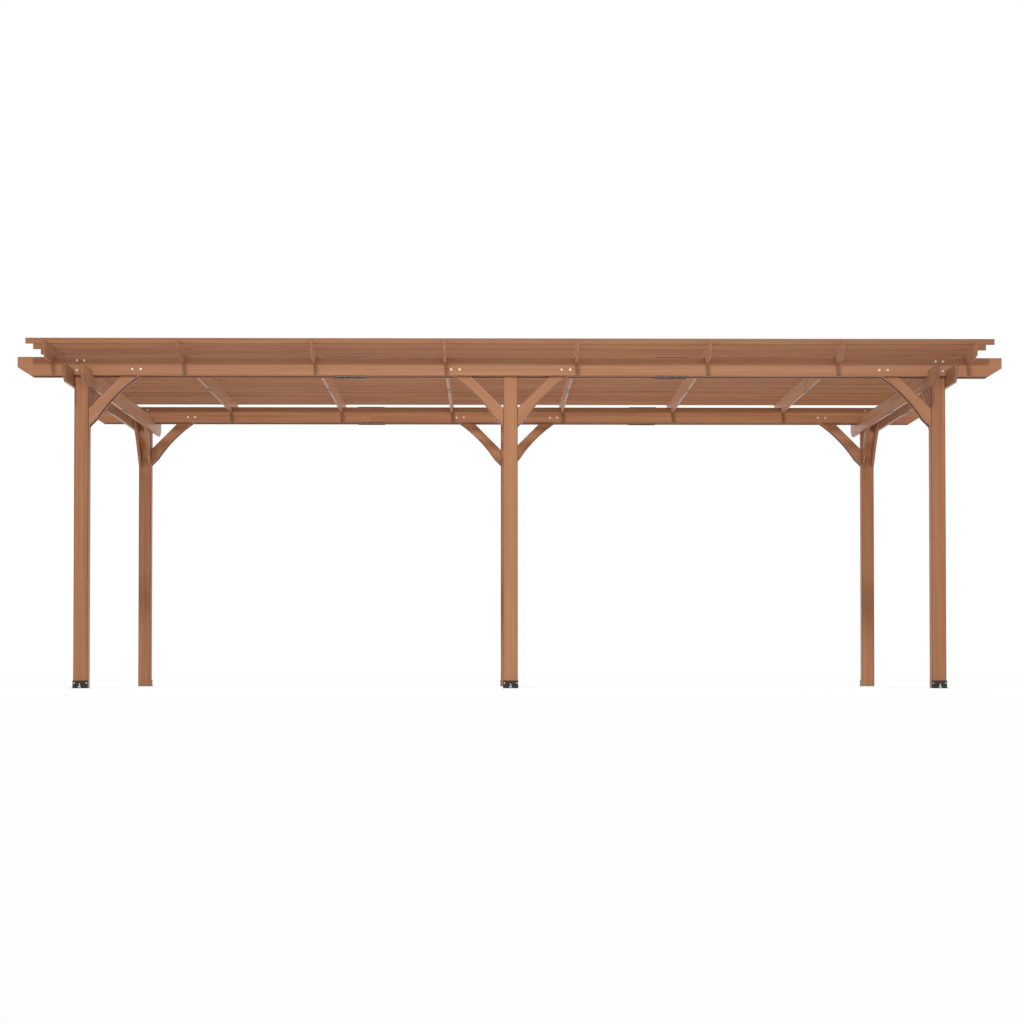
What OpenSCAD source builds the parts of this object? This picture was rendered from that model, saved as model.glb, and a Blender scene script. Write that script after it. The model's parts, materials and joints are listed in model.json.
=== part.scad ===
// Six-post timber pergola: paired header boards clamp the posts, rafters lap over the headers,
// and slats are let into the rafters. X runs along the length, Y across it, Z up from the ground.
// The origin is on the ground, in the middle of the six posts. Lengths are in millimetres.

/* [Posts] */
// Side of the square posts
post_side = 89; // [70:1:120]
// Flat planed along each long corner of a post
post_arris = 3; // [1:0.5:6]
// Distance from the middle posts to the end posts, centre to centre
bay_length = 2656; // [2200:1:3200]
// Distance from the front posts to the rear posts, centre to centre
post_span = 2785; // [2200:1:3400]
// Clear height from the ground to the underside of the long headers
headroom = 1934; // [1800:1:2600]

/* [Long headers] */
// Thickness of each long header board
header_thickness = 21; // [16:0.5:30]
// Depth of each long header board
header_depth = 114; // [100:1:150]
// Length that a long header runs past the centre of the end posts
header_overhang = 392; // [320:1:500]
// Length of the slanting cut under each end of a long header
header_tail_length = 81; // [50:1:140]
// Height of the slanting cut under each end of a long header
header_tail_rise = 50; // [30:1:70]
// Distance from the third rafter in to the butt joint in a long header
header_joint_inset = 218; // [150:1:300]

/* [End headers] */
// Thickness of each end header board
end_header_thickness = 21; // [16:0.5:30]
// Depth of each end header board
end_header_depth = 104; // [95:1:140]
// How far the underside of the end headers lies below that of the long headers
end_header_drop = 68; // [50:1:80]
// Length that an end header runs past the centre of the corner posts
end_header_overhang = 350; // [280:1:450]
// Length of the slanting cut under each end of an end header
end_header_tail_length = 62; // [40:1:140]
// Height of the slanting cut under each end of an end header
end_header_tail_rise = 38; // [25:1:60]

/* [Rafters] */
// Thickness of each rafter
rafter_thickness = 19; // [16:0.5:30]
// Depth of each rafter
rafter_depth = 104; // [90:1:140]
// How far the rafters and the long headers reach into each other
rafter_lap = 37; // [20:1:50]
// Distance from the centre of the end posts out to the outermost rafters
rafter_outset = 178; // [120:1:250]
// Length that a rafter runs past the centre of the posts
rafter_overhang = 350; // [280:1:450]
// Length of the slanting cut under each end of a rafter
rafter_tail_length = 65; // [40:1:110]
// Height of the slanting cut under each end of a rafter
rafter_tail_rise = 41; // [25:1:60]

/* [Slats] */
// Thickness of each slat
slat_thickness = 22; // [14:0.5:26]
// Depth of each slat, standing on edge
slat_depth = 34; // [26:1:50]
// Depth of the notch that each slat stands in
slat_let_in = 11; // [4:0.5:16]
// Length that the slats run past the centre of the outermost rafters
slat_overhang = 127; // [60:1:200]
// Distance from the end of a rafter to the centre of the outermost slat
slat_inset = 87; // [60:1:130]

/* [Knee braces] */
// Thickness of each of the two boards in a brace
brace_thickness = 20; // [15:0.5:28]
// Width of a brace board across its grain
brace_width = 80; // [65:1:95]
// Reach of a brace under the long headers, and down the post
brace_reach = 310; // [260:1:400]
// Reach of a brace under the end headers, and down the post
end_brace_reach = 257; // [200:1:300]
// Height from the top of a brace to the underside of the rafters
brace_top_gap = 17; // [8:1:25]
// Radius of the shallow arch under a brace
brace_arch_radius = 930; // [700:10:1500]
// Straight length left at each end of the arch
brace_toe = 70; // [50:1:90]

/* [Splice plates] */
// Length of the steel plate over each butt joint
splice_length = 195; // [120:1:210]
// Thickness of the steel plate
splice_thickness = 3; // [2:0.5:5]

/* [Post brackets] */
// Width of the angle bracket at the foot of a post
bracket_width = 95; // [70:1:120]
// Height of the bracket up the post
bracket_height = 48; // [40:1:80]
// Length of the bracket out from the post
bracket_foot = 50; // [44:1:80]
// Thickness of the bracket
bracket_plate = 4; // [3:0.5:6]
// Inner radius of the bend
bracket_bend = 3; // [1:0.5:5]
// Diameter of the anchor hole
anchor_bore = 11; // [8:0.5:14]
// Distance from the post to the centre of the anchor hole
anchor_setback = 27; // [22:1:32]

/* [Fits] */
// Play on each side of a board in its notch
lap_play = 0.5; // [0.2:0.1:1]
// Gap left in each butt joint
butt_gap = 0.4; // [0.2:0.1:3]

/* [Hidden] */
rafter_count = 8;
slat_count = 14;
arc_sides = 96;
cut_margin = 1;

wood = "sienna";
post_wood = "peru";
dark_steel = "dimgray";
black_steel = "black";

// Heights
header_top = headroom + header_depth;
end_header_bottom = headroom - end_header_drop;
end_header_lap = end_header_depth - end_header_drop;
rafter_bottom = header_top - rafter_lap;
rafter_top = rafter_bottom + rafter_depth;
slat_bottom = rafter_top - slat_let_in;

// Places across the frame
post_y = post_span / 2;
header_y = (post_side + header_thickness) / 2;
header_ys = [-post_y - header_y, -post_y + header_y, post_y - header_y, post_y + header_y];
rafter_length = post_span + 2 * rafter_overhang;
end_header_length = post_span + 2 * end_header_overhang;
slat_pitch = (rafter_length - 2 * slat_inset) / (slat_count - 1);

// Places along the frame
end_header_x = (post_side + end_header_thickness) / 2;
end_header_xs = [-bay_length - end_header_x, -bay_length + end_header_x,
                 bay_length - end_header_x, bay_length + end_header_x];
header_length = 2 * (bay_length + header_overhang);
outer_rafter_x = bay_length + rafter_outset;
rafter_pitch = 2 * outer_rafter_x / (rafter_count - 1);
slat_length = 2 * (outer_rafter_x + slat_overhang);
header_joint_x = rafter_x(5) - header_joint_inset;

// Brace geometry
brace_let_in = header_depth - rafter_lap - brace_top_gap;

function rafter_x(i) = -outer_rafter_x + i * rafter_pitch;
function slat_y(i) = (i - (slat_count - 1) / 2) * slat_pitch;

// A board on edge along X, underside at z = 0, with a slanting cut under each end
module tailed_board(length, depth, thickness, tail_length, tail_rise) {
    end = length / 2;
    translate([0, thickness / 2, 0])
        rotate([90, 0, 0])
            linear_extrude(height = thickness)
                polygon([
                    [-end + tail_length, 0], [end - tail_length, 0], [end, tail_rise],
                    [end, depth], [-end, depth], [-end, tail_rise]
                ]);
}

// A notch across a board at x, from one height to another, for a crossing board
module notch(x, crossing_thickness, z_low, z_high, board_thickness) {
    width = crossing_thickness + 2 * lap_play;
    translate([x - width / 2, -board_thickness / 2 - cut_margin, z_low])
        cube([width, board_thickness + 2 * cut_margin, z_high - z_low]);
}

// A saw cut right through a board at x, which parts it into two lengths
module butt_joint(x, depth, board_thickness) {
    translate([x - butt_gap / 2, -board_thickness / 2 - cut_margin, -cut_margin])
        cube([butt_gap, board_thickness + 2 * cut_margin, depth + 2 * cut_margin]);
}

// Square post with planed corners, clamped between the headers
module post(x, y) {
    half = post_side / 2;
    flat = half - post_arris;
    color(post_wood)
        translate([x, y, 0])
            linear_extrude(height = header_top)
                polygon([
                    [half, -flat], [half, flat], [flat, half], [-flat, half],
                    [-half, flat], [-half, -flat], [-flat, -half], [flat, -half]
                ]);
}

// Bent angle: upright along +Z against the post, foot along +X on the ground
module bracket_outline() {
    outer_bend = bracket_bend + bracket_plate;
    difference() {
        square([bracket_foot, bracket_height]);
        translate([bracket_plate + bracket_bend, bracket_plate])
            square([bracket_foot, bracket_height]);
        translate([bracket_plate, bracket_plate + bracket_bend])
            square([bracket_foot, bracket_height]);
        translate([outer_bend, outer_bend])
            circle(r = bracket_bend, $fn = arc_sides);
        difference() {
            translate([-cut_margin, -cut_margin])
                square(outer_bend + cut_margin);
            translate([outer_bend, outer_bend])
                circle(r = outer_bend, $fn = arc_sides);
        }
    }
}

// Angle bracket on the outer face of a post; side is -1 at the front and 1 at the rear
module bracket(x, side) {
    color(black_steel)
        translate([x, side * (post_y + post_side / 2), 0])
            rotate([0, 0, side * 90])
                difference() {
                    translate([0, bracket_width / 2, 0])
                        rotate([90, 0, 0])
                            linear_extrude(height = bracket_width)
                                bracket_outline();
                    translate([anchor_setback, 0, -cut_margin])
                        cylinder(d = anchor_bore, h = bracket_plate + 2 * cut_margin, $fn = arc_sides);
                }
}

// Long header board: notched above for the rafters and below for the end headers
module long_header(y) {
    color(wood)
        translate([0, y, headroom])
            difference() {
                tailed_board(header_length, header_depth, header_thickness,
                             header_tail_length, header_tail_rise);
                for (i = [0 : rafter_count - 1])
                    notch(rafter_x(i), rafter_thickness, header_depth - rafter_lap / 2,
                          header_depth + cut_margin, header_thickness);
                for (x = end_header_xs)
                    notch(x, end_header_thickness, -cut_margin, end_header_lap / 2, header_thickness);
                for (side = [-1, 1])
                    butt_joint(side * header_joint_x, header_depth, header_thickness);
            }
}

// End header board: notched above for the long headers
module end_header(x) {
    color(wood)
        translate([x, 0, end_header_bottom])
            rotate([0, 0, 90])
                difference() {
                    tailed_board(end_header_length, end_header_depth, end_header_thickness,
                                 end_header_tail_length, end_header_tail_rise);
                    for (y = header_ys)
                        notch(y, header_thickness, end_header_depth - end_header_lap / 2,
                              end_header_depth + cut_margin, end_header_thickness);
                    butt_joint(0, end_header_depth, end_header_thickness);
                }
}

// Rafter: notched below for the long headers and above for the slats
module rafter(i) {
    color(wood)
        translate([rafter_x(i), 0, rafter_bottom])
            rotate([0, 0, 90])
                difference() {
                    tailed_board(rafter_length, rafter_depth, rafter_thickness,
                                 rafter_tail_length, rafter_tail_rise);
                    for (y = header_ys)
                        notch(y, header_thickness, -cut_margin, rafter_lap / 2, rafter_thickness);
                    for (s = [0 : slat_count - 1])
                        notch(slat_y(s), slat_thickness, rafter_depth - slat_let_in,
                              rafter_depth + cut_margin, rafter_thickness);
                    butt_joint(0, rafter_depth, rafter_thickness);
                }
}

// A run of slats on edge, each standing in the notches of all the rafters
module slats(first, last) {
    color(wood)
        for (i = [first : last])
            translate([-slat_length / 2, slat_y(i) - slat_thickness / 2, slat_bottom])
                cube([slat_length, slat_thickness, slat_depth]);
}

// Outline of a brace board: post face at x = 0, underside of the header at y = 0
module brace_outline(reach) {
    inner_reach = reach - brace_width * sqrt(2);
    underside = (reach + brace_let_in) * sqrt(2);
    half_chord = underside / 2 - brace_toe;
    middle = underside / 2 / sqrt(2);
    drop = sqrt(pow(brace_arch_radius, 2) - pow(half_chord, 2)) / sqrt(2);
    difference() {
        polygon([
            [0, -reach], [reach + brace_let_in, brace_let_in],
            [inner_reach + brace_let_in, brace_let_in], [0, -inner_reach]
        ]);
        translate([middle + drop, middle - reach - drop])
            circle(r = brace_arch_radius, $fn = 4 * arc_sides);
    }
}

// Two arched boards with a gap between, flush with the post and clamped by the header boards
module brace(x, y, z, turn, reach) {
    color(wood)
        translate([x, y, z])
            rotate([0, 0, turn])
                for (face = [-post_side / 2 + brace_thickness, post_side / 2])
                    translate([post_side / 2, face, 0])
                        rotate([90, 0, 0])
                            linear_extrude(height = brace_thickness)
                                brace_outline(reach);
}

module long_brace(x, side, turn) {
    brace(x, side * post_y, headroom, turn, brace_reach);
}

module end_brace(end, side) {
    brace(end * bay_length, side * post_y, end_header_bottom, -side * 90, end_brace_reach);
}

// Steel plates on the upper and lower edges of a board, over a joint at the origin
module splice_pair(depth, board_thickness) {
    for (z = [-splice_thickness, depth])
        translate([-splice_length / 2, -board_thickness / 2, z])
            cube([splice_length, board_thickness, splice_thickness]);
}

module header_splices() {
    color(dark_steel)
        for (y = header_ys, side = [-1, 1])
            translate([side * header_joint_x, y, headroom])
                splice_pair(header_depth, header_thickness);
}

module end_header_splices() {
    color(dark_steel)
        for (x = end_header_xs)
            translate([x, 0, end_header_bottom])
                rotate([0, 0, 90])
                    splice_pair(end_header_depth, end_header_thickness);
}

module rafter_splices() {
    color(dark_steel)
        for (i = [0 : rafter_count - 1])
            translate([rafter_x(i), 0, rafter_bottom])
                rotate([0, 0, 90])
                    splice_pair(rafter_depth, rafter_thickness);
}

post(-bay_length, -post_y);  // post_front_left
post(0, -post_y);  // post_front_middle
post(bay_length, -post_y);  // post_front_right
post(-bay_length, post_y);  // post_rear_left
post(0, post_y);  // post_rear_middle
post(bay_length, post_y);  // post_rear_right
bracket(-bay_length, -1);  // bracket_front_left
bracket(0, -1);  // bracket_front_middle
bracket(bay_length, -1);  // bracket_front_right
bracket(-bay_length, 1);  // bracket_rear_left
bracket(0, 1);  // bracket_rear_middle
bracket(bay_length, 1);  // bracket_rear_right
long_header(header_ys[0]);  // header_front_outer
long_header(header_ys[1]);  // header_front_inner
long_header(header_ys[2]);  // header_rear_inner
long_header(header_ys[3]);  // header_rear_outer
end_header(end_header_xs[0]);  // end_header_left_outer
end_header(end_header_xs[1]);  // end_header_left_inner
end_header(end_header_xs[2]);  // end_header_right_inner
end_header(end_header_xs[3]);  // end_header_right_outer
rafter(0);  // rafter_1
rafter(1);  // rafter_2
rafter(2);  // rafter_3
rafter(3);  // rafter_4
rafter(4);  // rafter_5
rafter(5);  // rafter_6
rafter(6);  // rafter_7
rafter(7);  // rafter_8
slats(0, slat_count / 2 - 1);  // slats_front
slats(slat_count / 2, slat_count - 1);  // slats_rear
long_brace(-bay_length, -1, 0);  // brace_front_1
long_brace(0, -1, 180);  // brace_front_2
long_brace(0, -1, 0);  // brace_front_3
long_brace(bay_length, -1, 180);  // brace_front_4
long_brace(-bay_length, 1, 0);  // brace_rear_1
long_brace(0, 1, 180);  // brace_rear_2
long_brace(0, 1, 0);  // brace_rear_3
long_brace(bay_length, 1, 180);  // brace_rear_4
end_brace(-1, -1);  // end_brace_left_front
end_brace(-1, 1);  // end_brace_left_rear
end_brace(1, -1);  // end_brace_right_front
end_brace(1, 1);  // end_brace_right_rear
header_splices();
end_header_splices();
rafter_splices();
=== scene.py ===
"""Timber pergola: eased and stained boards, steel fittings, bolts, and the studio around them."""

import json
import math
import random

import bmesh
import bpy
from mathutils import Euler, Matrix, Vector


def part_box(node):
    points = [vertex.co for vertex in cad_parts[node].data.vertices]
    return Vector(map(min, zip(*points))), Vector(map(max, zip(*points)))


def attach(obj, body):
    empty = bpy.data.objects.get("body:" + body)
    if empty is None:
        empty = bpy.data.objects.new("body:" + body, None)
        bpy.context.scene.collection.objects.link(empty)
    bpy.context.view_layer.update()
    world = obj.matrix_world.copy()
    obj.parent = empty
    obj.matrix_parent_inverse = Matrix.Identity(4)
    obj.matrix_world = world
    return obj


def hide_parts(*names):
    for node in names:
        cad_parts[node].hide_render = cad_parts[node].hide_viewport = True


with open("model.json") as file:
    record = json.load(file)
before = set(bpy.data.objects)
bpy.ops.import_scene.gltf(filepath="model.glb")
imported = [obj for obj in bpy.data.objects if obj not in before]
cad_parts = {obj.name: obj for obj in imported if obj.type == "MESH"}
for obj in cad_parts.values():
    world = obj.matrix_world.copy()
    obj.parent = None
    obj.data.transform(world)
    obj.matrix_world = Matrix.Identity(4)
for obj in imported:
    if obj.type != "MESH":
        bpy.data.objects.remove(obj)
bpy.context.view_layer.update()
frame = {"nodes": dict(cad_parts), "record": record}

# Sides and bays, as the CAD nodes name them
SIDES = ("front", "rear")
ENDS = ("left", "right")
POSTS = ("left", "middle", "right")
RAFTERS = 8
BRACES_PER_SIDE = 4

# How a node's copy is cleaned and eased, in metres and radians
MERGE_DISTANCE = 0.00002
FLAT_ANGLE = math.radians(0.5)
CORNER_ANGLE = math.radians(30)
SMOOTH_ANGLE = math.radians(40)
BOARD_EASE = 0.0020
SLAT_EASE = 0.0012
POST_EASE = 0.0012
STEEL_EASE = 0.0006
EASE_STEPS = 2
EASE_PROFILE = 0.5
ARRIS_WIDTH = 0.0018
JOINT_REACH = 0.001

# How far a face's normal has to point along the grain to be a cut end, or up to be a top or level
CUT_END_FACING = 0.6
TOP_FACING = 0.9
LEVEL_FACING = 0.99

# Domed bolt: a low flange with a cap on it
FLANGE_RADIUS = 0.0072
FLANGE_HEIGHT = 0.0009
CAP_RADIUS = 0.0056
CAP_HEIGHT = 0.0016
CAP_STEPS = 4
HEAD_SIDES = 20

# Pan screws: the head alone, with a round drive in it; the small ones are driven by the hundred
SCREW_RADIUS = 0.0048
SCREW_HEIGHT = 0.0024
SCREW_SIDES = 12
SCREW_STEPS = 3
SMALL_SCREW_RADIUS = 0.0042
SMALL_SCREW_HEIGHT = 0.0018
SMALL_SCREW_SIDES = 8
SMALL_SCREW_STEPS = 2
RIM_SHARE = 0.3
CROWN_SHARE = 0.7
DRIVE_SHARE = 0.42
DRIVE_DEPTH_SHARE = 0.5
DRIVE_TAPER = 0.85

# Anchor bolt: washer, hexagon nut and threaded end
WASHER_RADIUS = 0.012
WASHER_HEIGHT = 0.002
NUT_RADIUS = 0.0092
NUT_HEIGHT = 0.008
NUT_SIDES = 6
NUT_CHAMFER_SHARE = 0.12
NUT_CROWN_SHARE = 0.08
STUD_RADIUS = 0.005
STUD_TOP = 0.026
THREAD_PITCH = 0.0018
THREAD_DEPTH = 0.0007
STUD_SIDES = 16
STUD_TIP_SHARE = 0.75

# Where bolts and screws go: reaches from the middle of a post, bracket or plate, and rises from the
# bottom edge of a board, the toe of a brace or the ground
BRACE_BOLTS = (0.316, 0.3685)
BRACE_BOLT_RISE = 0.039
END_BRACE_BOLTS = (0.2475, 0.301)
END_BRACE_BOLT_RISE = 0.026
POST_BOLTS = ((-0.026, 0.092), (0.019, 0.092), (-0.026, 0.031))
END_POST_BOLTS = ((-0.020, 0.029), (0.024, 0.029))
BRACKET_SCREW_REACH = 0.038
BRACKET_SCREW_HEIGHT = 0.031
TOE_SCREW_RISES = (0.029, 0.049)
END_TOE_SCREW_RISES = (0.042, 0.067)
PLATE_SCREWS = (-0.075, -0.03, 0.03, 0.075)

# Camera and light, from the photograph's lower view
IMAGE_SIZE = 1024
FOCAL_PIXELS = 2416.8
CAMERA_PLACE = (-0.1456, -16.3827, 0.0761)
CAMERA_YAW = math.radians(0.5916)
CAMERA_PITCH = math.radians(1.439)
CAMERA_RISE = 0.1008
SENSOR = 36.0
SIGHT_LIMIT = 500
SUN_ELEVATION = math.radians(26.4)
SUN_AZIMUTH = math.radians(-2.8)
SUN_SPREAD = math.radians(5)
SUN_STRENGTH = 0.86
SUN_PLACE = (0, -10, 8)
CENTRE_TARGET = (0.0, -1.45, 1.35)
CENTRE_DISTANCE = 60.0
CENTRE_REACH = 3.9
CENTRE_SOFTNESS = 2.6
CENTRE_POWER = 32000.0
TOP_SPREAD = math.radians(40)
TOP_STRENGTH = 0.70
TOP_PLACE = (0, 0, 12)
SKY_STRENGTH = 0.39
FILL_SIZE = (8.0, 2.4)
FILL_LIGHTS = {
    "left": ((-11.0, -1.0, 1.4), math.radians(-90), 130.0),
    "right": ((11.0, -1.0, 1.4), math.radians(90), 70.0),
    "rear": ((0.0, 11.0, 1.6), math.radians(180), 210.0),
}
FLOOR_SIZE = 160.0

# The seed is one picked for the tints it deals the boards, partly painted light: some posts and headers
# come out lighter or darker where light falls unevenly along the pergola
dice = random.Random(40392)


class Signal:
    """A shader socket that takes part in Python expressions, each operator adding one Math node."""

    def __init__(self, socket):
        self.socket = socket

    def maths(self, operation, first, second):
        tree = self.socket.id_data
        made = tree.nodes.new("ShaderNodeMath")
        made.operation = operation
        join(tree, first, made.inputs[0])
        join(tree, second, made.inputs[1])
        return Signal(made.outputs[0])

    def __add__(self, other):
        return self.maths("ADD", self, other)

    def __radd__(self, other):
        return self.maths("ADD", other, self)

    def __sub__(self, other):
        return self.maths("SUBTRACT", self, other)

    def __rsub__(self, other):
        return self.maths("SUBTRACT", other, self)

    def __mul__(self, other):
        return self.maths("MULTIPLY", self, other)

    def __rmul__(self, other):
        return self.maths("MULTIPLY", other, self)

    def __truediv__(self, other):
        return self.maths("DIVIDE", self, other)

    def __rtruediv__(self, other):
        return self.maths("DIVIDE", other, self)

    def __pow__(self, other):
        return self.maths("POWER", self, other)

    def __rpow__(self, other):
        return self.maths("POWER", other, self)


def join(tree, value, socket):
    """Links a Signal to a socket, or sets a plain value on it."""
    if isinstance(value, Signal):
        tree.links.new(value.socket, socket)
    else:
        socket.default_value = value


class Finish:
    """The node tree of a material or of the world, and the one method that adds a node to it."""

    def __init__(self, owner):
        owner.use_nodes = True
        self.owner = owner
        self.tree = owner.node_tree
        self.tree.nodes.clear()

    def node(self, kind, settings, sockets, output=0):
        made = self.tree.nodes.new("ShaderNode" + kind)
        for key, value in settings.items():
            if key == "stops":
                self.set_stops(made.color_ramp, value)
            else:
                setattr(made, key, value)
        for key, value in sockets.items():
            join(self.tree, value, made.inputs[key])
        return Signal(made.outputs[output]) if made.outputs else None

    def set_stops(self, ramp, stops):
        while len(ramp.elements) < len(stops):
            ramp.elements.new(0.5)
        for element, (place, grey) in zip(ramp.elements, stops):
            element.position = place
            element.color = (grey, grey, grey, 1.0)

    def mix(self, blend, factor, first, second):
        """A colour Mix: sockets 0, 6 and 7 are its factor and two colours, output 2 its colour."""
        settings = {"data_type": "RGBA", "blend_type": blend}
        return self.node("Mix", settings, {0: factor, 6: first, 7: second}, 2)

    def noise(self, vector, detail, roughness=0.5):
        sockets = {"Vector": vector, "Scale": 1.0, "Detail": detail, "Roughness": roughness}
        return self.node("TexNoise", {}, sockets)

    def spread(self, value, low, high):
        """Stretches the part of a value between low and high over 0 to 1."""
        return self.node("MapRange", {}, {"Value": value, "From Min": low, "From Max": high})

    def seen_directly(self):
        """1 on rays from the camera, a reflection or glass, and 0 on rays that carry light."""
        rays = ("Is Camera Ray", "Is Glossy Ray", "Is Transmission Ray")
        seen = [self.node("LightPath", {}, {}, ray) for ray in rays]
        return self.node("Math", {"operation": "MINIMUM"}, {0: seen[0] + seen[1] + seen[2], 1: 1.0})

    def surface(self, sockets):
        shader = self.node("BsdfPrincipled", {}, sockets)
        self.node("OutputMaterial", {}, {"Surface": shader})
        return self.owner


def colour(red, green, blue):
    return (red, green, blue, 1.0)


# Growth rings of the wood, in metres, then how many rings a blotch shifts them by, and how much of
# each part of a ring is late wood
RING_PITCH = 0.0052
PITH_SPREAD = 0.20
PITH_NEAR = 0.015
PITH_FAR = 0.11
RING_WANDER = 0.022
RINGS_PER_BLOTCH = 1.5
LATE_WOOD = [(0.0, 0.25), (0.45, 0.1), (0.86, 1.0), (1.0, 0.25)]

# Noise in the wood: waves per metre along and across the grain, then detail and roughness
GRAIN_NOISE = {
    "streak": (0.9, 58.0, 3.0, 0.6),
    "fibre": (5.0, 420.0, 2.0, 0.5),
    "blotch": (1.3, 9.0, 2.0, 0.5),
    "vein": (0.8, 88.0, 2.0, 0.5),
    "glow": (0.7, 31.0, 2.0, 0.5),
    "wander": (0.55, 2.5, 1.0, 0.5),
}

# The part of each noise that is stretched over 0 to 1
GRAIN_RANGE = {
    "streak": (0.30, 0.70),
    "fibre": (0.30, 0.70),
    "blotch": (0.42, 0.72),
    "vein": (0.48, 0.64),
    "glow": (0.50, 0.70),
}

# What a board's tint number is multiplied by to place its noise and to draw its pith
BOARD_START = (71.0, 43.0, 29.0)
PITH_DRAW = 997.0

# What makes the stain light or dark, and how far red and gold streaks cover it
TONE_START = 0.20
STREAK_SHARE = 0.62
FIBRE_SHARE = 0.20
TINT_SHARE = 0.64
LATE_SHARE = 0.20
RED_BLOTCH_COVER = 0.35
RED_VEIN_COVER = 0.55
GOLD_COVER = 0.45

# Cut ends, darker as end grain is, and painted shade along the edge lines and over the arrises: how far
# each covers the stain, and what it multiplies the stain by
CUT_END_COVER = 0.35
CUT_END_LATE_COVER = 0.3
EDGE_LINE_COVER = 0.5
ARRIS_COVER = 0.62
ARRIS_BROAD_COVER = 0.2
CUT_END_SHADE = colour(0.55, 0.47, 0.42)
EDGE_PAINTED_SHADE = colour(0.55, 0.46, 0.42)
ARRIS_PAINTED_SHADE = colour(0.5, 0.42, 0.38)

# A painted line of shade along the edges starts and is full this far from the edge, in metres. It grows
# with half the width of the board, and it stays on the broad faces unless half the thickness is great
# as well.
EDGE_LINE = (0.0065, 0.0025)
EDGE_LINE_WANDER = 0.002
NARROW_TO_BROAD = (0.012, 0.050)
THIN_TO_THICK = (0.012, 0.030)
OFF_TO_ON_FACE = (0.003, 0.0015)

# The feel of the wood: roughness, shares of the relief, and the colour of its sheen
WOOD_ROUGHNESS = 0.46
FIBRE_ROUGHNESS = 0.14
LATE_POLISH = 0.06
LATE_RELIEF = 0.5
FIBRE_RELIEF = 0.6
STREAK_RELIEF = 0.4
SHEEN_TINT = colour(1.0, 0.62, 0.44)


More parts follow.
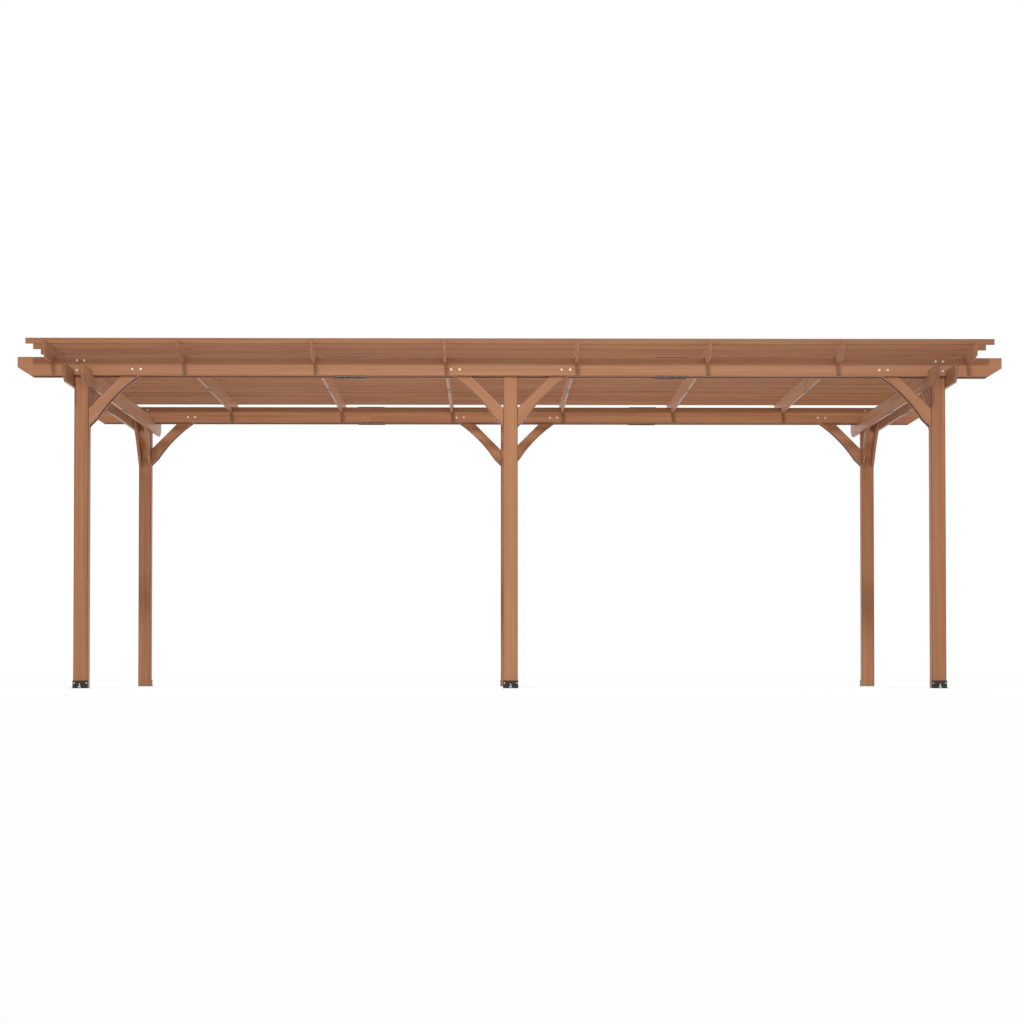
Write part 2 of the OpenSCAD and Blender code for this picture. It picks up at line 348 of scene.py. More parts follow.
def stained_wood(name, light, dark, red, gold, coat):
    """Straight-grained softwood under a satin red-brown stain, drawn along each board."""
    wood = Finish(bpy.data.materials.new(name))
    grain = wood.node("Attribute", {"attribute_name": "grain"}, {}, "Vector")
    board = wood.node("Attribute", {"attribute_name": "board"}, {}, "Fac")
    cut_end = wood.node("Attribute", {"attribute_name": "cut_end"}, {}, "Fac")
    arris = wood.node("Attribute", {"attribute_name": "arris"}, {}, "Fac")
    half = wood.node("Attribute", {"attribute_name": "half"}, {}, "Vector")

    white = wood.node("TexWhiteNoise", {"noise_dimensions": "1D"}, {"W": board * PITH_DRAW}, "Color")
    chance = [wood.node("SeparateColor", {}, {"Color": white}, channel) for channel in range(2)]
    start = wood.node("CombineXYZ", {}, {axis: board * far for axis, far in zip("XYZ", BOARD_START)})

    def grain_noise(kind):
        along, across, detail, noise_roughness = GRAIN_NOISE[kind]
        sockets = {0: grain, 1: (along, across, across), 2: start}
        place = wood.node("VectorMath", {"operation": "MULTIPLY_ADD"}, sockets)
        return wood.noise(place, detail, noise_roughness)

    streak = grain_noise("streak")
    fibre = grain_noise("fibre")
    blotch = grain_noise("blotch")
    vein = grain_noise("vein")
    glow = grain_noise("glow")
    wander = (grain_noise("wander") - 0.5) * RING_WANDER

    across = wood.node("SeparateXYZ", {}, {"Vector": grain}, "Y")
    through = wood.node("SeparateXYZ", {}, {"Vector": grain}, "Z")
    pith_across = (chance[0] - 0.5) * PITH_SPREAD
    pith_through = chance[1] * PITH_FAR + PITH_NEAR
    from_pith = ((across - pith_across + wander) ** 2.0 + (through - pith_through) ** 2.0) ** 0.5
    rings = from_pith / RING_PITCH + blotch * RINGS_PER_BLOTCH
    year = wood.node("Math", {"operation": "FRACT"}, {0: rings})
    late = wood.node("ValToRGB", {"stops": LATE_WOOD}, {"Fac": year})

    def strong(noise, kind):
        return wood.spread(noise, *GRAIN_RANGE[kind])

    tone = strong(streak, "streak") * STREAK_SHARE + strong(fibre, "fibre") * FIBRE_SHARE
    tone = tone + (board - 0.5) * TINT_SHARE - late * LATE_SHARE + TONE_START
    stain = wood.mix("MIX", tone, dark, light)
    stain = wood.mix("MIX", strong(blotch, "blotch") * RED_BLOTCH_COVER, stain, red)
    stain = wood.mix("MIX", strong(vein, "vein") * RED_VEIN_COVER, stain, red)
    stain = wood.mix("MIX", strong(glow, "glow") * GOLD_COVER, stain, gold)
    end_cover = cut_end * (CUT_END_COVER + late * CUT_END_LATE_COVER)
    stain = wood.mix("MULTIPLY", end_cover, stain, CUT_END_SHADE)

    # Painted shade: a dark line drawn along the edges of each board's broad faces, as an outline
    off_middle = wood.node("VectorMath", {"operation": "ABSOLUTE"}, {0: grain})
    rim = wood.node("VectorMath", {"operation": "SUBTRACT"}, {0: half, 1: off_middle})
    rims = [wood.node("SeparateXYZ", {}, {"Vector": rim}, axis) for axis in "YZ"]
    to_edge = wood.node("Math", {"operation": "MAXIMUM"}, {0: rims[0], 1: rims[1]})
    half_width = wood.node("SeparateXYZ", {}, {"Vector": half}, "Y")
    half_thickness = wood.node("SeparateXYZ", {}, {"Vector": half}, "Z")
    broad = wood.spread(half_width, *NARROW_TO_BROAD)
    faces = {0: wood.spread(rims[1], *OFF_TO_ON_FACE), 1: wood.spread(half_thickness, *THIN_TO_THICK)}
    on_face = wood.node("Math", {"operation": "MAXIMUM"}, faces)
    near_edge = wood.spread(to_edge + fibre * EDGE_LINE_WANDER, *EDGE_LINE)
    painted_edge_shade = near_edge * broad * on_face * EDGE_LINE_COVER
    stain = wood.mix("MULTIPLY", painted_edge_shade, stain, EDGE_PAINTED_SHADE)
    # Painted shade: the eased arrises are darkened into an outline
    painted_arris_shade = arris * (ARRIS_COVER + broad * ARRIS_BROAD_COVER)
    stain = wood.mix("MULTIPLY", painted_arris_shade, stain, ARRIS_PAINTED_SHADE)

    roughness = WOOD_ROUGHNESS + fibre * FIBRE_ROUGHNESS - late * LATE_POLISH
    height = late * LATE_RELIEF + fibre * FIBRE_RELIEF + streak * STREAK_RELIEF
    relief = wood.node("Bump", {}, {"Strength": 0.35, "Distance": 0.0006, "Height": height})
    sockets = {"Base Color": stain, "Roughness": roughness, "Normal": relief}
    fibre_sheen = {"Sheen Weight": 0.12, "Sheen Roughness": 0.45, "Sheen Tint": SHEEN_TINT}
    satin = {"Specular IOR Level": 0.15, "Coat Weight": coat, "Coat Roughness": 0.22}
    return wood.surface({**sockets, **fibre_sheen, **satin})


# A steel coating: waves of grit per metre, the part of the cloud noise that shows, the shares of both
# in its colour, and the roughness that the clouds add
GRIT_SCALE = 1400.0
CLOUD_RANGE = (0.3, 0.7)
CLOUD_SHARE = 0.75
GRIT_SHARE = 0.25
CLOUD_ROUGHNESS = 0.14


def steel(name, base, bright, metallic, roughness, mottle, relief_height):
    """Sheet or turned steel, mottled by its coating, with a fine relief."""
    coat = Finish(bpy.data.materials.new(name))
    place = coat.node("TexCoord", {}, {}, "Object")
    cloud_place = coat.node("VectorMath", {"operation": "SCALE"}, {0: place, "Scale": mottle})
    grit_place = coat.node("VectorMath", {"operation": "SCALE"}, {0: place, "Scale": GRIT_SCALE})
    cloud = coat.spread(coat.noise(cloud_place, 3.0, 0.6), *CLOUD_RANGE)
    grit = coat.noise(grit_place, 2.0)
    shade = coat.mix("MIX", cloud * CLOUD_SHARE + grit * GRIT_SHARE, base, bright)
    relief = coat.node("Bump", {}, {"Strength": 0.3, "Distance": relief_height, "Height": grit})
    rough = roughness + cloud * CLOUD_ROUGHNESS
    sockets = {"Base Color": shade, "Roughness": rough, "Normal": relief}
    return coat.surface({**sockets, "Metallic": metallic})


def deselect():
    bpy.ops.object.select_all(action="DESELECT")


def take_up(piece):
    """Makes a piece the only selected and active object."""
    deselect()
    piece.select_set(True)
    bpy.context.view_layer.objects.active = piece


def fit(piece, finish, slot, *nodes):
    """Gives a piece its finish, lets it ride on the frame, and stands it for CAD nodes; its slot is not
    used.
    """
    piece.data.materials.clear()
    piece.data.materials.append(finish)
    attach(piece, "root")
    if nodes:
        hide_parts(*nodes)
    return piece


def copy_of(node, name):
    """Copies a CAD node's mesh into a new piece, with its triangles merged into whole faces."""
    piece = bpy.data.objects.new(name, frame["nodes"][node].data.copy())
    bpy.context.collection.objects.link(piece)
    take_up(piece)
    if piece.data.has_custom_normals:
        bpy.ops.mesh.customdata_custom_splitnormals_clear()
    bpy.ops.object.mode_set(mode="EDIT")
    bpy.ops.mesh.select_all(action="SELECT")
    bpy.ops.mesh.remove_doubles(threshold=MERGE_DISTANCE)
    bpy.ops.mesh.dissolve_limited(angle_limit=FLAT_ANGLE)
    bpy.ops.object.mode_set(mode="OBJECT")
    return piece


def joint_levels(mesh, along):
    """Places along the grain where one board of a mesh butts against the next."""
    spans = []
    for board in boards_in(mesh):
        reaches = [mesh.vertices[vertex].co.dot(along) for vertex in board]
        spans.append((min(reaches), max(reaches)))
    return [low for low, _ in spans if any(abs(low - high) < JOINT_REACH for _, high in spans)]


def ease(piece, width, along):
    """Rounds the outward corners of a piece, apart from those at a butt joint along the grain."""
    joints = joint_levels(piece.data, along)

    def at_joint(edge):
        reaches = [vertex.co.dot(along) for vertex in edge.verts]
        return any(all(abs(reach - joint) < JOINT_REACH for reach in reaches) for joint in joints)

    take_up(piece)
    bpy.ops.object.mode_set(mode="EDIT")
    bpy.ops.mesh.select_mode(type="EDGE")
    bpy.ops.mesh.select_all(action="DESELECT")
    shape = bmesh.from_edit_mesh(piece.data)
    for edge in shape.edges:
        corner = edge.is_convex and edge.calc_face_angle(0.0) > CORNER_ANGLE
        edge.select_set(corner and not at_joint(edge))
    bmesh.update_edit_mesh(piece.data)
    bpy.ops.mesh.bevel(offset=width, segments=EASE_STEPS, profile=EASE_PROFILE, clamp_overlap=True)
    bpy.ops.object.mode_set(mode="OBJECT")


def settle_shading(piece):
    """Smooths rounded corners while broad faces stay flat."""
    take_up(piece)
    bpy.ops.object.shade_smooth_by_angle(angle=SMOOTH_ANGLE)
    weigh = piece.modifiers.new("broad faces", "WEIGHTED_NORMAL")
    weigh.keep_sharp = True
    bpy.ops.object.modifier_apply(modifier=weigh.name)


def boards_in(mesh):
    """Lists the vertex numbers of each separate board in a mesh."""
    near = [[] for _ in mesh.vertices]
    for edge in mesh.edges:
        first, second = edge.vertices
        near[first].append(second)
        near[second].append(first)
    boards = []
    seen = set()
    for vertex in range(len(near)):
        if vertex in seen:
            continue
        board = [vertex]
        seen.add(vertex)
        for reached in board:
            fresh = [other for other in near[reached] if other not in seen]
            seen.update(fresh)
            board.extend(fresh)
        boards.append(board)
    return boards


def note(mesh, name, kind, domain, values):
    """Writes one attribute on a mesh, with a value for each vertex or face."""
    mesh.attributes.new(name, kind, domain)
    written = mesh.attributes[name].data
    if kind == "FLOAT_VECTOR":
        written.foreach_set("vector", [number for value in values for number in value])
    else:
        written.foreach_set("value", values)


def is_arris(mesh, face):
    """Tells the narrow strips that easing leaves from the faces of the board."""
    corners = [mesh.vertices[vertex].co for vertex in face.vertices]
    longest = max((corner - last).length for corner, last in zip(corners, corners[-1:] + corners))
    return face.area / longest < ARRIS_WIDTH


def draw_grain(piece, along, across, least):
    """Writes each board's grain place, half size, tint number, cut ends and arrises on its mesh."""
    mesh = piece.data
    turn = Matrix((along, across, along.cross(across)))
    places = [turn @ vertex.co for vertex in mesh.vertices]
    grain = [None] * len(places)
    half = [None] * len(places)
    tint = [0.0] * len(places)
    for board in boards_in(mesh):
        low = Vector(min(places[vertex][axis] for vertex in board) for axis in range(3))
        high = Vector(max(places[vertex][axis] for vertex in board) for axis in range(3))
        number = least + (1 - least) * dice.random()
        for vertex in board:
            grain[vertex] = places[vertex] - (low + high) / 2
            half[vertex] = (high - low) / 2
            tint[vertex] = number
    note(mesh, "grain", "FLOAT_VECTOR", "POINT", grain)
    note(mesh, "half", "FLOAT_VECTOR", "POINT", half)
    note(mesh, "board", "FLOAT", "POINT", tint)
    cut_end = [float(abs(face.normal.dot(along)) > CUT_END_FACING) for face in mesh.polygons]
    arris = [float(is_arris(mesh, face)) for face in mesh.polygons]
    note(mesh, "cut_end", "FLOAT", "FACE", cut_end)
    note(mesh, "arris", "FLOAT", "FACE", arris)


X_AXIS = Vector((1, 0, 0))
Y_AXIS = Vector((0, 1, 0))
Z_AXIS = Vector((0, 0, 1))


# Pieces whose boards draw lighter tints, with the least tint number that those boards may draw. On
# rafters 4 to 6 the lighter tint is a painted reflection: the pale sheen their sides show at a grazing
# view.
LIGHTENED_BOARDS = {
    "brace_front_2": 0.95,
    "brace_front_3": 0.80,
    "rafter_4": 0.80,
    "rafter_5": 0.92,
    "rafter_6": 0.95,
}


def dress_timber(node, along, across, width, finish, slot):
    """Stands an eased, grained piece of wood for one CAD node."""
    piece = copy_of(node, node + "_timber")
    ease(piece, width, along.normalized())
    draw_grain(piece, along.normalized(), across.normalized(), LIGHTENED_BOARDS.get(node, 0.0))
    settle_shading(piece)
    return fit(piece, finish, slot, node)


def middle_of(node):
    low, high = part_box(node)
    return (low + high) / 2


def lean_of(brace, axis):
    """Which way along an axis a brace leans out from the post that it stands on."""
    posts = [middle_of(f"post_{side}_{place}") for side in SIDES for place in POSTS]
    middle = middle_of(brace)
    nearest = min(posts, key=lambda post: (post - middle).xy.length)
    return math.copysign(1, (middle - nearest)[axis])


BRACES = [f"brace_{side}_{number + 1}" for side in SIDES for number in range(BRACES_PER_SIDE)]
END_BRACES = [f"end_brace_{end}_{side}" for end in ENDS for side in SIDES]
HEADERS = ("header_front_outer", "header_front_inner", "header_rear_inner", "header_rear_outer")
END_HEADERS = ("end_header_left_outer", "end_header_left_inner",
               "end_header_right_inner", "end_header_right_outer")


def dress_all_timber(post_finish, frame_finish, rafter_stain_and_light, slat_stain_and_shade):
    for side in SIDES:
        for place in POSTS:
            post = f"post_{side}_{place}"
            dress_timber(post, Z_AXIS, X_AXIS, POST_EASE, post_finish, "post_wood")
        slats = f"slats_{side}"
        dress_timber(slats, X_AXIS, Z_AXIS, SLAT_EASE, slat_stain_and_shade, "frame_wood")
    for header in HEADERS:
        dress_timber(header, X_AXIS, Z_AXIS, BOARD_EASE, frame_finish, "frame_wood")
    for header in END_HEADERS:
        dress_timber(header, Y_AXIS, Z_AXIS, BOARD_EASE, frame_finish, "frame_wood")
    for number in range(RAFTERS):
        rafter = f"rafter_{number + 1}"
        dress_timber(rafter, Y_AXIS, Z_AXIS, BOARD_EASE, rafter_stain_and_light, "frame_wood")
    for brace in BRACES:
        out = X_AXIS * lean_of(brace, 0)
        dress_timber(brace, Z_AXIS + out, Z_AXIS - out, BOARD_EASE, frame_finish, "frame_wood")
    for brace in END_BRACES:
        out = Y_AXIS * lean_of(brace, 1)
        dress_timber(brace, Z_AXIS + out, Z_AXIS - out, BOARD_EASE, frame_finish, "frame_wood")


def dress_steel(node, finish, slot):
    piece = copy_of(node, node + "_steel")
    ease(piece, STEEL_EASE, Z_AXIS)
    settle_shading(piece)
    return fit(piece, finish, slot, node)


def pick_top(piece):
    """Leaves the highest upward face of a piece selected in edit mode."""
    bpy.ops.mesh.select_mode(type="FACE")
    bpy.ops.mesh.select_all(action="DESELECT")
    shape = bmesh.from_edit_mesh(piece.data)
    shape.faces.ensure_lookup_table()
    upward = [face for face in shape.faces if face.normal.z > TOP_FACING]
    top = max(upward, key=lambda face: face.calc_center_median().z)
    top.select_set(True)
    bmesh.update_edit_mesh(piece.data)


def raise_top(rise, scale):
    """Extrudes the selected top face and brings it in or out."""
    bpy.ops.mesh.extrude_region_move(TRANSFORM_OT_translate={"value": (0, 0, rise)})
    bpy.ops.transform.resize(value=(scale, scale, 1), center_override=(0, 0, 0))


DOME_TURN = math.radians(60)


def raise_dome(radius, height, steps):
    """Raises the selected round face into a dome, and returns the radius of its last flat."""
    reach = radius
    level = 0.0
    for step in range(1, steps + 1):
        turn = DOME_TURN * step / steps
        new_reach = radius * math.cos(turn)
        new_level = height * math.sin(turn)
        raise_top(new_level - level, new_reach / reach)
        reach = new_reach
        level = new_level
    return reach


def start_disc(name, sides, radius, height):
    """A short cylinder standing on the origin, taken into edit mode with its top face selected."""
    deselect()
    place = (0, 0, height / 2)
    bpy.ops.mesh.primitive_cylinder_add(vertices=sides, radius=radius, depth=height, location=place)
    piece = bpy.context.object
    piece.name = name
    bpy.ops.object.transform_apply(location=True, rotation=True, scale=True)
    bpy.ops.object.mode_set(mode="EDIT")
    pick_top(piece)
    return piece


def finish_shape(piece):
    bpy.ops.object.mode_set(mode="OBJECT")
    settle_shading(piece)
    return piece


def make_domed_bolt():
    bolt = start_disc("domed_bolt", HEAD_SIDES, FLANGE_RADIUS, FLANGE_HEIGHT)
    bpy.ops.mesh.inset(thickness=FLANGE_RADIUS - CAP_RADIUS)
    raise_dome(CAP_RADIUS, CAP_HEIGHT, CAP_STEPS)
    return finish_shape(bolt)


def make_pan_screw(name, radius, height, sides, steps):
    screw = start_disc(name, sides, radius, height * RIM_SHARE)
    flat = raise_dome(radius, height * CROWN_SHARE, steps)
    raise_top(0.0, radius * DRIVE_SHARE / flat)
    raise_top(-height * DRIVE_DEPTH_SHARE, DRIVE_TAPER)
    return finish_shape(screw)


def make_anchor_bolt():
    washer = start_disc("anchor_bolt", STUD_SIDES, WASHER_RADIUS, WASHER_HEIGHT)
    bpy.ops.mesh.inset(thickness=WASHER_RADIUS - STUD_RADIUS)
    level = WASHER_HEIGHT
    crest = True
    while level < STUD_TOP - THREAD_PITCH:
        valley = (STUD_RADIUS - THREAD_DEPTH) / STUD_RADIUS
        raise_top(THREAD_PITCH / 2, valley if crest else 1 / valley)
        level += THREAD_PITCH / 2
        crest = not crest
    raise_top(STUD_TOP - level, STUD_TIP_SHARE)
    finish_shape(washer)
    nut = start_disc("anchor_nut", NUT_SIDES, NUT_RADIUS, NUT_HEIGHT)
    bpy.ops.mesh.inset(thickness=NUT_RADIUS * NUT_CHAMFER_SHARE)
    raise_top(NUT_HEIGHT * NUT_CROWN_SHARE, 1.0)
    bpy.ops.mesh.select_all(action="SELECT")
    bpy.ops.transform.translate(value=(0, 0, WASHER_HEIGHT))
    finish_shape(nut)
    take_up(washer)
    nut.select_set(True)
    bpy.ops.object.join()
    return washer


def seat(place, out):
    """The matrix that stands a fastener on a point, pointing out of the face there."""
    return Matrix.Translation(place) @ out.to_track_quat("Z", "Y").to_matrix().to_4x4()


def drive_in(model, name, seats, finish):
    """Copies a fastener to every seat and joins the copies into one piece."""
    copies = []
    for number, matrix in enumerate(seats):
        copied = bpy.data.objects.new(f"{name}_{number}", model.data.copy())
        bpy.context.collection.objects.link(copied)
        copied.data.transform(matrix)
        copies.append(copied)
    take_up(copies[0])
    for copied in copies[1:]:
        copied.select_set(True)
    bpy.ops.object.join()
    copies[0].name = name
    return fit(copies[0], finish, "bolt_steel")


def both_faces(outer, inner, axis, place):
    """Seats for one through bolt: a head on the outer board's face and one on the inner board's."""
    heads = []
    for board, other in ((outer, inner), (inner, outer)):
        low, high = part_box(board)
        away = math.copysign(1, middle_of(board)[axis] - middle_of(other)[axis])
        head = Vector(place)
        head[axis] = high[axis] if away > 0 else low[axis]
        out = Vector((0, 0, 0))
        out[axis] = away
        heads.append(seat(head, out))
    return heads


def header_bolts(side):
    """Through bolts of one long header pair: two at each brace head, three at each corner post."""
    outer = f"header_{side}_outer"
    inner = f"header_{side}_inner"
    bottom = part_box(outer)[0].z
    posts = [middle_of(f"post_{side}_{place}").x for place in POSTS]
    seats = []
    for number in range(BRACES_PER_SIDE):
        brace = f"brace_{side}_{number + 1}"
        lean = lean_of(brace, 0)
        post = min(posts, key=lambda x: abs(x - middle_of(brace).x))
        for reach in BRACE_BOLTS:
            seats += both_faces(outer, inner, 1, (post + lean * reach, 0, bottom + BRACE_BOLT_RISE))
    for end, outward in (("left", 1), ("right", -1)):
        post = middle_of(f"post_{side}_{end}").x
        for reach, rise in POST_BOLTS:
            seats += both_faces(outer, inner, 1, (post + outward * reach, 0, bottom + rise))
    return seats


def end_header_bolts(end):
    """Bolts of one end header pair: two through each brace head, and two into each post."""
    outer = f"end_header_{end}_outer"
    inner = f"end_header_{end}_inner"
    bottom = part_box(outer)[0].z
    seats = []
    for side, inward in (("front", 1), ("rear", -1)):
        post = middle_of(f"post_{side}_{end}").y
        for reach in END_BRACE_BOLTS:
            place = (0, post + inward * reach, bottom + END_BRACE_BOLT_RISE)
            seats += both_faces(outer, inner, 0, place)
        for reach, rise in END_POST_BOLTS:
            heads = both_faces(outer, inner, 0, (0, post + inward * reach, bottom + rise))
            seats.append(heads[0])
    return seats


def board_box(piece, board):
    """Lowest and highest corners of one board of a piece."""
    corners = [piece.data.vertices[vertex].co for vertex in board]
    low = Vector(min(corner[axis] for corner in corners) for axis in range(3))
    high = Vector(max(corner[axis] for corner in corners) for axis in range(3))
    return low, high


def toe_seats():
    """Seats of the two screws up the toe of every brace board, found on its underside."""
    bpy.context.view_layer.update()
    seats = []
    for braces, axis, rises in ((BRACES, 0, TOE_SCREW_RISES), (END_BRACES, 1, END_TOE_SCREW_RISES)):
        for brace in braces:
            outward = (X_AXIS, Y_AXIS)[axis] * lean_of(brace, axis)
            piece = bpy.data.objects[brace + "_timber"]
            for board in boards_in(piece.data):
                low, high = board_box(piece, board)
                for rise in rises:
                    before = (low + high) / 2 + outward
                    before.z = low.z + rise
                    _, head, out, _ = piece.ray_cast(before, -outward)
                    seats.append(seat(head, out))
    return seats


def splice_seats():
    """Seats of the four screws in every splice plate."""
    seats = []
    for splices, axis in (("header_splices", 0), ("end_header_splices", 1), ("rafter_splices", 1)):
        piece = bpy.data.objects[splices + "_steel"]
        for plate in boards_in(piece.data):
            low, high = board_box(piece, plate)
            above = low.z > middle_of(splices).z
            for reach in PLATE_SCREWS:
                head = (low + high) / 2
                head[axis] += reach
                head.z = high.z if above else low.z
                seats.append(seat(head, Z_AXIS if above else -Z_AXIS))
    return seats


def slat_seats():
    """Seats of the screws that hold every slat down on every rafter."""
    seats = []
    for side in SIDES:
        piece = bpy.data.objects[f"slats_{side}_timber"]
        for slat in boards_in(piece.data):
            low, high = board_box(piece, slat)
            for number in range(RAFTERS):
                rafter = middle_of(f"rafter_{number + 1}")
                head = Vector((rafter.x, (low.y + high.y) / 2, high.z))
                seats.append(seat(head, Z_AXIS))
    return seats


def bracket_seats():
    """Seats of the two screws and the one anchor bolt of every bracket."""
    spacing = frame["record"]["mounts"][0]["dims"]["spacing_y_mm"] / 1000
    screws = []
    anchors = []
    for side, out in (("front", -1), ("rear", 1)):
        for place in POSTS:
            bracket = f"bracket_{side}_{place}"
            low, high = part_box(bracket)
            middle = (low + high) / 2
            upright = post_face(side, place) + out * plate_thickness(bracket)
            for reach in (-BRACKET_SCREW_REACH, BRACKET_SCREW_REACH):
                head = Vector((middle.x + reach, upright, BRACKET_SCREW_HEIGHT))
                screws.append(seat(head, Y_AXIS * out))
            foot = Vector((middle.x, out * spacing / 2, plate_thickness(bracket)))
            anchors.append(seat(foot, Z_AXIS))
    return screws, anchors


def post_face(side, place):
    low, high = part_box(f"post_{side}_{place}")
    return low.y if side == "front" else high.y


def plate_thickness(bracket):
    """The lowest upward level of a bracket's foot, found on its faces."""
    mesh = frame["nodes"][bracket].data
    tops = [face.center.z for face in mesh.polygons if face.normal.z > LEVEL_FACING]
    return min(tops)


WHITE = colour(1, 1, 1)

# The floor as light meets it, from dusty to clean, and as it is shown: a glow and a soft share of light
FLOOR_DUSTY = colour(0.70, 0.70, 0.70)
FLOOR_CLEAN = colour(0.74, 0.74, 0.74)
FLOOR_GLOW = 0.65
FLOOR_SHOWN = colour(0.45, 0.45, 0.45)


def studio_floor():
    deselect()
    bpy.ops.mesh.primitive_plane_add(size=FLOOR_SIZE)
    floor = bpy.context.object
    floor.name = "floor"
    pale = Finish(bpy.data.materials.new("pale floor"))
    place = pale.node("TexCoord", {}, {}, "Object")
    dust = pale.noise(place, 2.0)
    shade = pale.mix("MIX", dust, FLOOR_DUSTY, FLOOR_CLEAN)
    plain = pale.node("BsdfDiffuse", {}, {"Color": shade})
    glow = pale.node("Emission", {}, {"Color": WHITE, "Strength": FLOOR_GLOW})
    soft = pale.node("BsdfDiffuse", {}, {"Color": FLOOR_SHOWN})
    lifted = pale.node("AddShader", {}, {0: glow, 1: soft})
    shown = pale.node("MixShader", {}, {0: pale.seen_directly(), 1: plain, 2: lifted})
    pale.node("OutputMaterial", {}, {"Surface": shown})
    floor.data.materials.append(pale.owner)


def studio_sky():
    world = bpy.data.worlds.new("studio")
    bpy.context.scene.world = world
    sky = Finish(world)
    strength = sky.seen_directly() * (1.0 - SKY_STRENGTH) + SKY_STRENGTH
    glow = sky.node("Background", {}, {"Color": WHITE, "Strength": strength})
    sky.node("OutputWorld", {}, {"Surface": glow})


def key_light():
    deselect()
    bpy.ops.object.light_add(type="SUN", location=SUN_PLACE)
    lamp = bpy.context.object
    lamp.name = "key_light"
    lamp.rotation_euler = (math.pi / 2 - SUN_ELEVATION, 0, SUN_AZIMUTH)
    lamp.data.energy = SUN_STRENGTH
    lamp.data.angle = SUN_SPREAD


def centre_light():
    """A far, wide spot in the key light's direction, so that the pergola's two ends stay darker."""
    deselect()
    turn = Euler((math.pi / 2 - SUN_ELEVATION, 0, SUN_AZIMUTH))
    place = Vector(CENTRE_TARGET) + turn.to_matrix() @ Z_AXIS * CENTRE_DISTANCE
    bpy.ops.object.light_add(type="SPOT", location=place, rotation=turn)
    lamp = bpy.context.object
    lamp.name = "centre_light"
    lamp.data.energy = CENTRE_POWER
    lamp.data.spot_size = 2 * math.atan(CENTRE_REACH / CENTRE_DISTANCE)
    lamp.data.spot_blend = 1.0
    lamp.data.shadow_soft_size = CENTRE_SOFTNESS


def top_light():
    """A wide soft light straight from above, which the pale floor throws back under the roof."""
    deselect()
    bpy.ops.object.light_add(type="SUN", location=TOP_PLACE)
    lamp = bpy.context.object
    lamp.name = "top_light"
    lamp.data.energy = TOP_STRENGTH
    lamp.data.angle = TOP_SPREAD


def fill_lights():
    """Wide, weak panels that lift the faces turned to the ends and to the rear of the pergola."""
    for side, (place, turn, power) in FILL_LIGHTS.items():
        deselect()
        bpy.ops.object.light_add(type="AREA", location=place, rotation=(math.pi / 2, 0, turn))
        panel = bpy.context.object
        panel.name = f"fill_light_{side}"
        panel.data.shape = "RECTANGLE"
        panel.data.size = FILL_SIZE[0]
        panel.data.size_y = FILL_SIZE[1]
        panel.data.energy = power
        panel.visible_camera = False
        panel.visible_glossy = False


def set_camera():
    deselect()
    turn = (math.pi / 2 + CAMERA_PITCH, 0, -CAMERA_YAW)
    bpy.ops.object.camera_add(location=CAMERA_PLACE, rotation=turn)
    camera = bpy.context.object
    camera.name = "camera"
    camera.data.sensor_width = SENSOR
    camera.data.lens = FOCAL_PIXELS / IMAGE_SIZE * SENSOR
    camera.data.shift_y = CAMERA_RISE
    camera.data.clip_end = SIGHT_LIMIT
    bpy.context.scene.camera = camera


post_finish = stained_wood("post stain", colour(0.540, 0.258, 0.126), colour(0.345, 0.143, 0.064),
                           colour(0.488, 0.199, 0.110), colour(0.525, 0.264, 0.106), coat=0.04)
frame_finish = stained_wood("frame stain", colour(0.540, 0.259, 0.132), colour(0.322, 0.130, 0.054),
                            colour(0.480, 0.194, 0.106), colour(0.517, 0.257, 0.104), coat=0.20)
# The rafter stain is lighter than the frame stain: partly a paler tone of the rafter boards, partly
# painted light on the rafters' sides
rafter_stain_and_light = stained_wood("rafter stain with painted light", colour(0.605, 0.292, 0.148), colour(0.366, 0.150, 0.064),
                             colour(0.538, 0.219, 0.119), colour(0.579, 0.288, 0.116), coat=0.12)
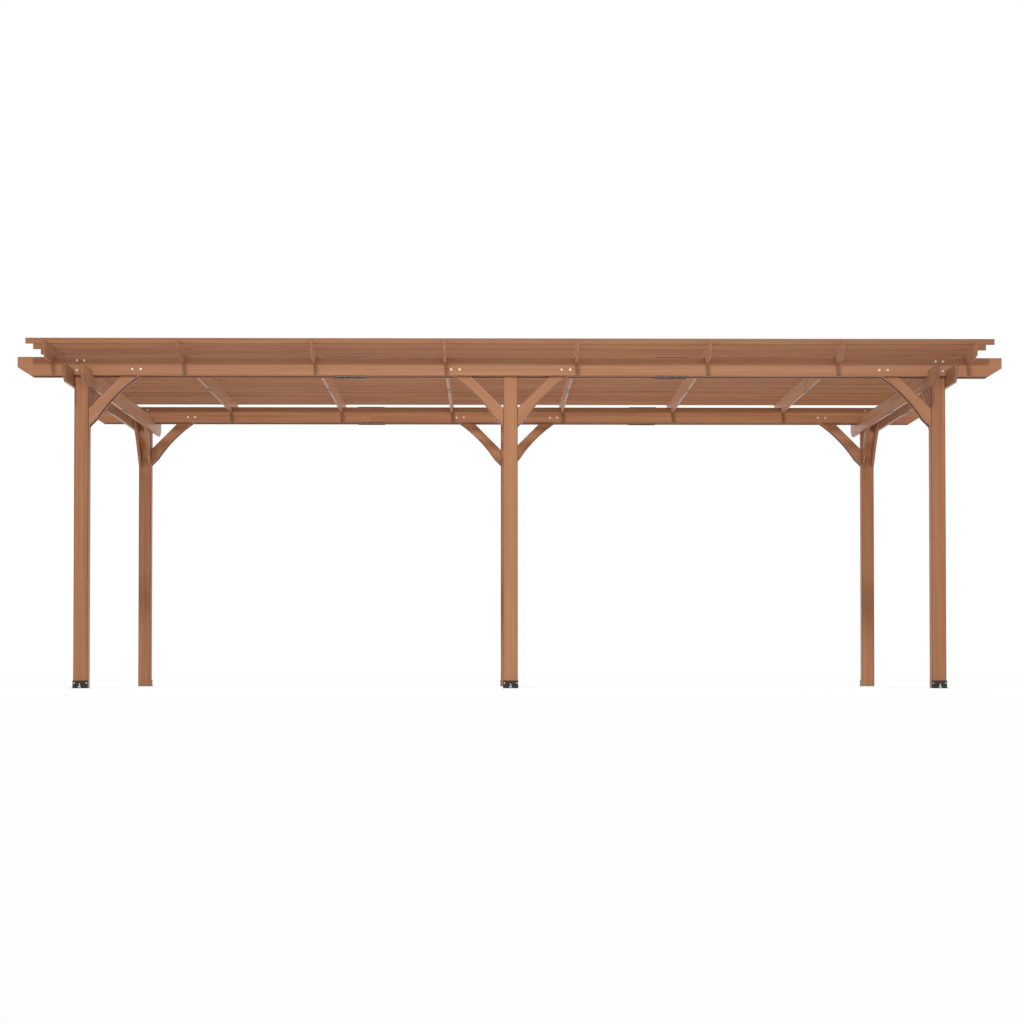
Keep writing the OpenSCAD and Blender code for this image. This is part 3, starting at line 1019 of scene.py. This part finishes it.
# The slat stain is darker than the frame stain: partly a darker tone of the slats, partly painted shade
# for the slats under the roof
slat_stain_and_shade = stained_wood("slat stain with painted shade", colour(0.452, 0.215, 0.108), colour(0.278, 0.115, 0.052),
                           colour(0.404, 0.165, 0.093), colour(0.437, 0.217, 0.091), coat=0.06)
plate_finish = steel("splice steel", colour(0.060, 0.046, 0.037), colour(0.115, 0.092, 0.077),
                     metallic=0.5, roughness=0.42, mottle=60.0, relief_height=0.0002)
bracket_finish = steel("black powder coat", colour(0.004, 0.004, 0.0045), colour(0.011, 0.011, 0.012),
                       metallic=0.0, roughness=0.55, mottle=90.0, relief_height=0.0003)
bolt_finish = steel("bright zinc", colour(0.52, 0.46, 0.38), colour(0.70, 0.63, 0.53),
                    metallic=1.0, roughness=0.28, mottle=300.0, relief_height=0.0001)

dress_all_timber(post_finish, frame_finish, rafter_stain_and_light, slat_stain_and_shade)
for splices in ("header_splices", "end_header_splices", "rafter_splices"):
    dress_steel(splices, plate_finish, "splice_steel")
for side in SIDES:
    for place in POSTS:
        dress_steel(f"bracket_{side}_{place}", bracket_finish, "bracket_steel")

domed_bolt = make_domed_bolt()
pan_screw = make_pan_screw("pan_screw", SCREW_RADIUS, SCREW_HEIGHT, SCREW_SIDES, SCREW_STEPS)
small_screw = make_pan_screw("small_screw", SMALL_SCREW_RADIUS, SMALL_SCREW_HEIGHT,
                             SMALL_SCREW_SIDES, SMALL_SCREW_STEPS)
anchor_bolt = make_anchor_bolt()
for side in SIDES:
    drive_in(domed_bolt, f"header_bolts_{side}", header_bolts(side), bolt_finish)
for end in ENDS:
    drive_in(domed_bolt, f"end_header_bolts_{end}", end_header_bolts(end), bolt_finish)
bracket_screws, anchors = bracket_seats()
drive_in(pan_screw, "bracket_screws", bracket_screws, bolt_finish)
drive_in(anchor_bolt, "anchor_bolts", anchors, bolt_finish)
drive_in(pan_screw, "brace_screws", toe_seats(), bolt_finish)
drive_in(small_screw, "splice_screws", splice_seats(), bolt_finish)
drive_in(small_screw, "slat_screws", slat_seats(), bolt_finish)
for model in (domed_bolt, pan_screw, small_screw, anchor_bolt):
    bpy.data.objects.remove(model)

studio_floor()
studio_sky()
key_light()
centre_light()
top_light()
fill_lights()
set_camera()
bpy.context.scene.view_settings.view_transform = "Standard"
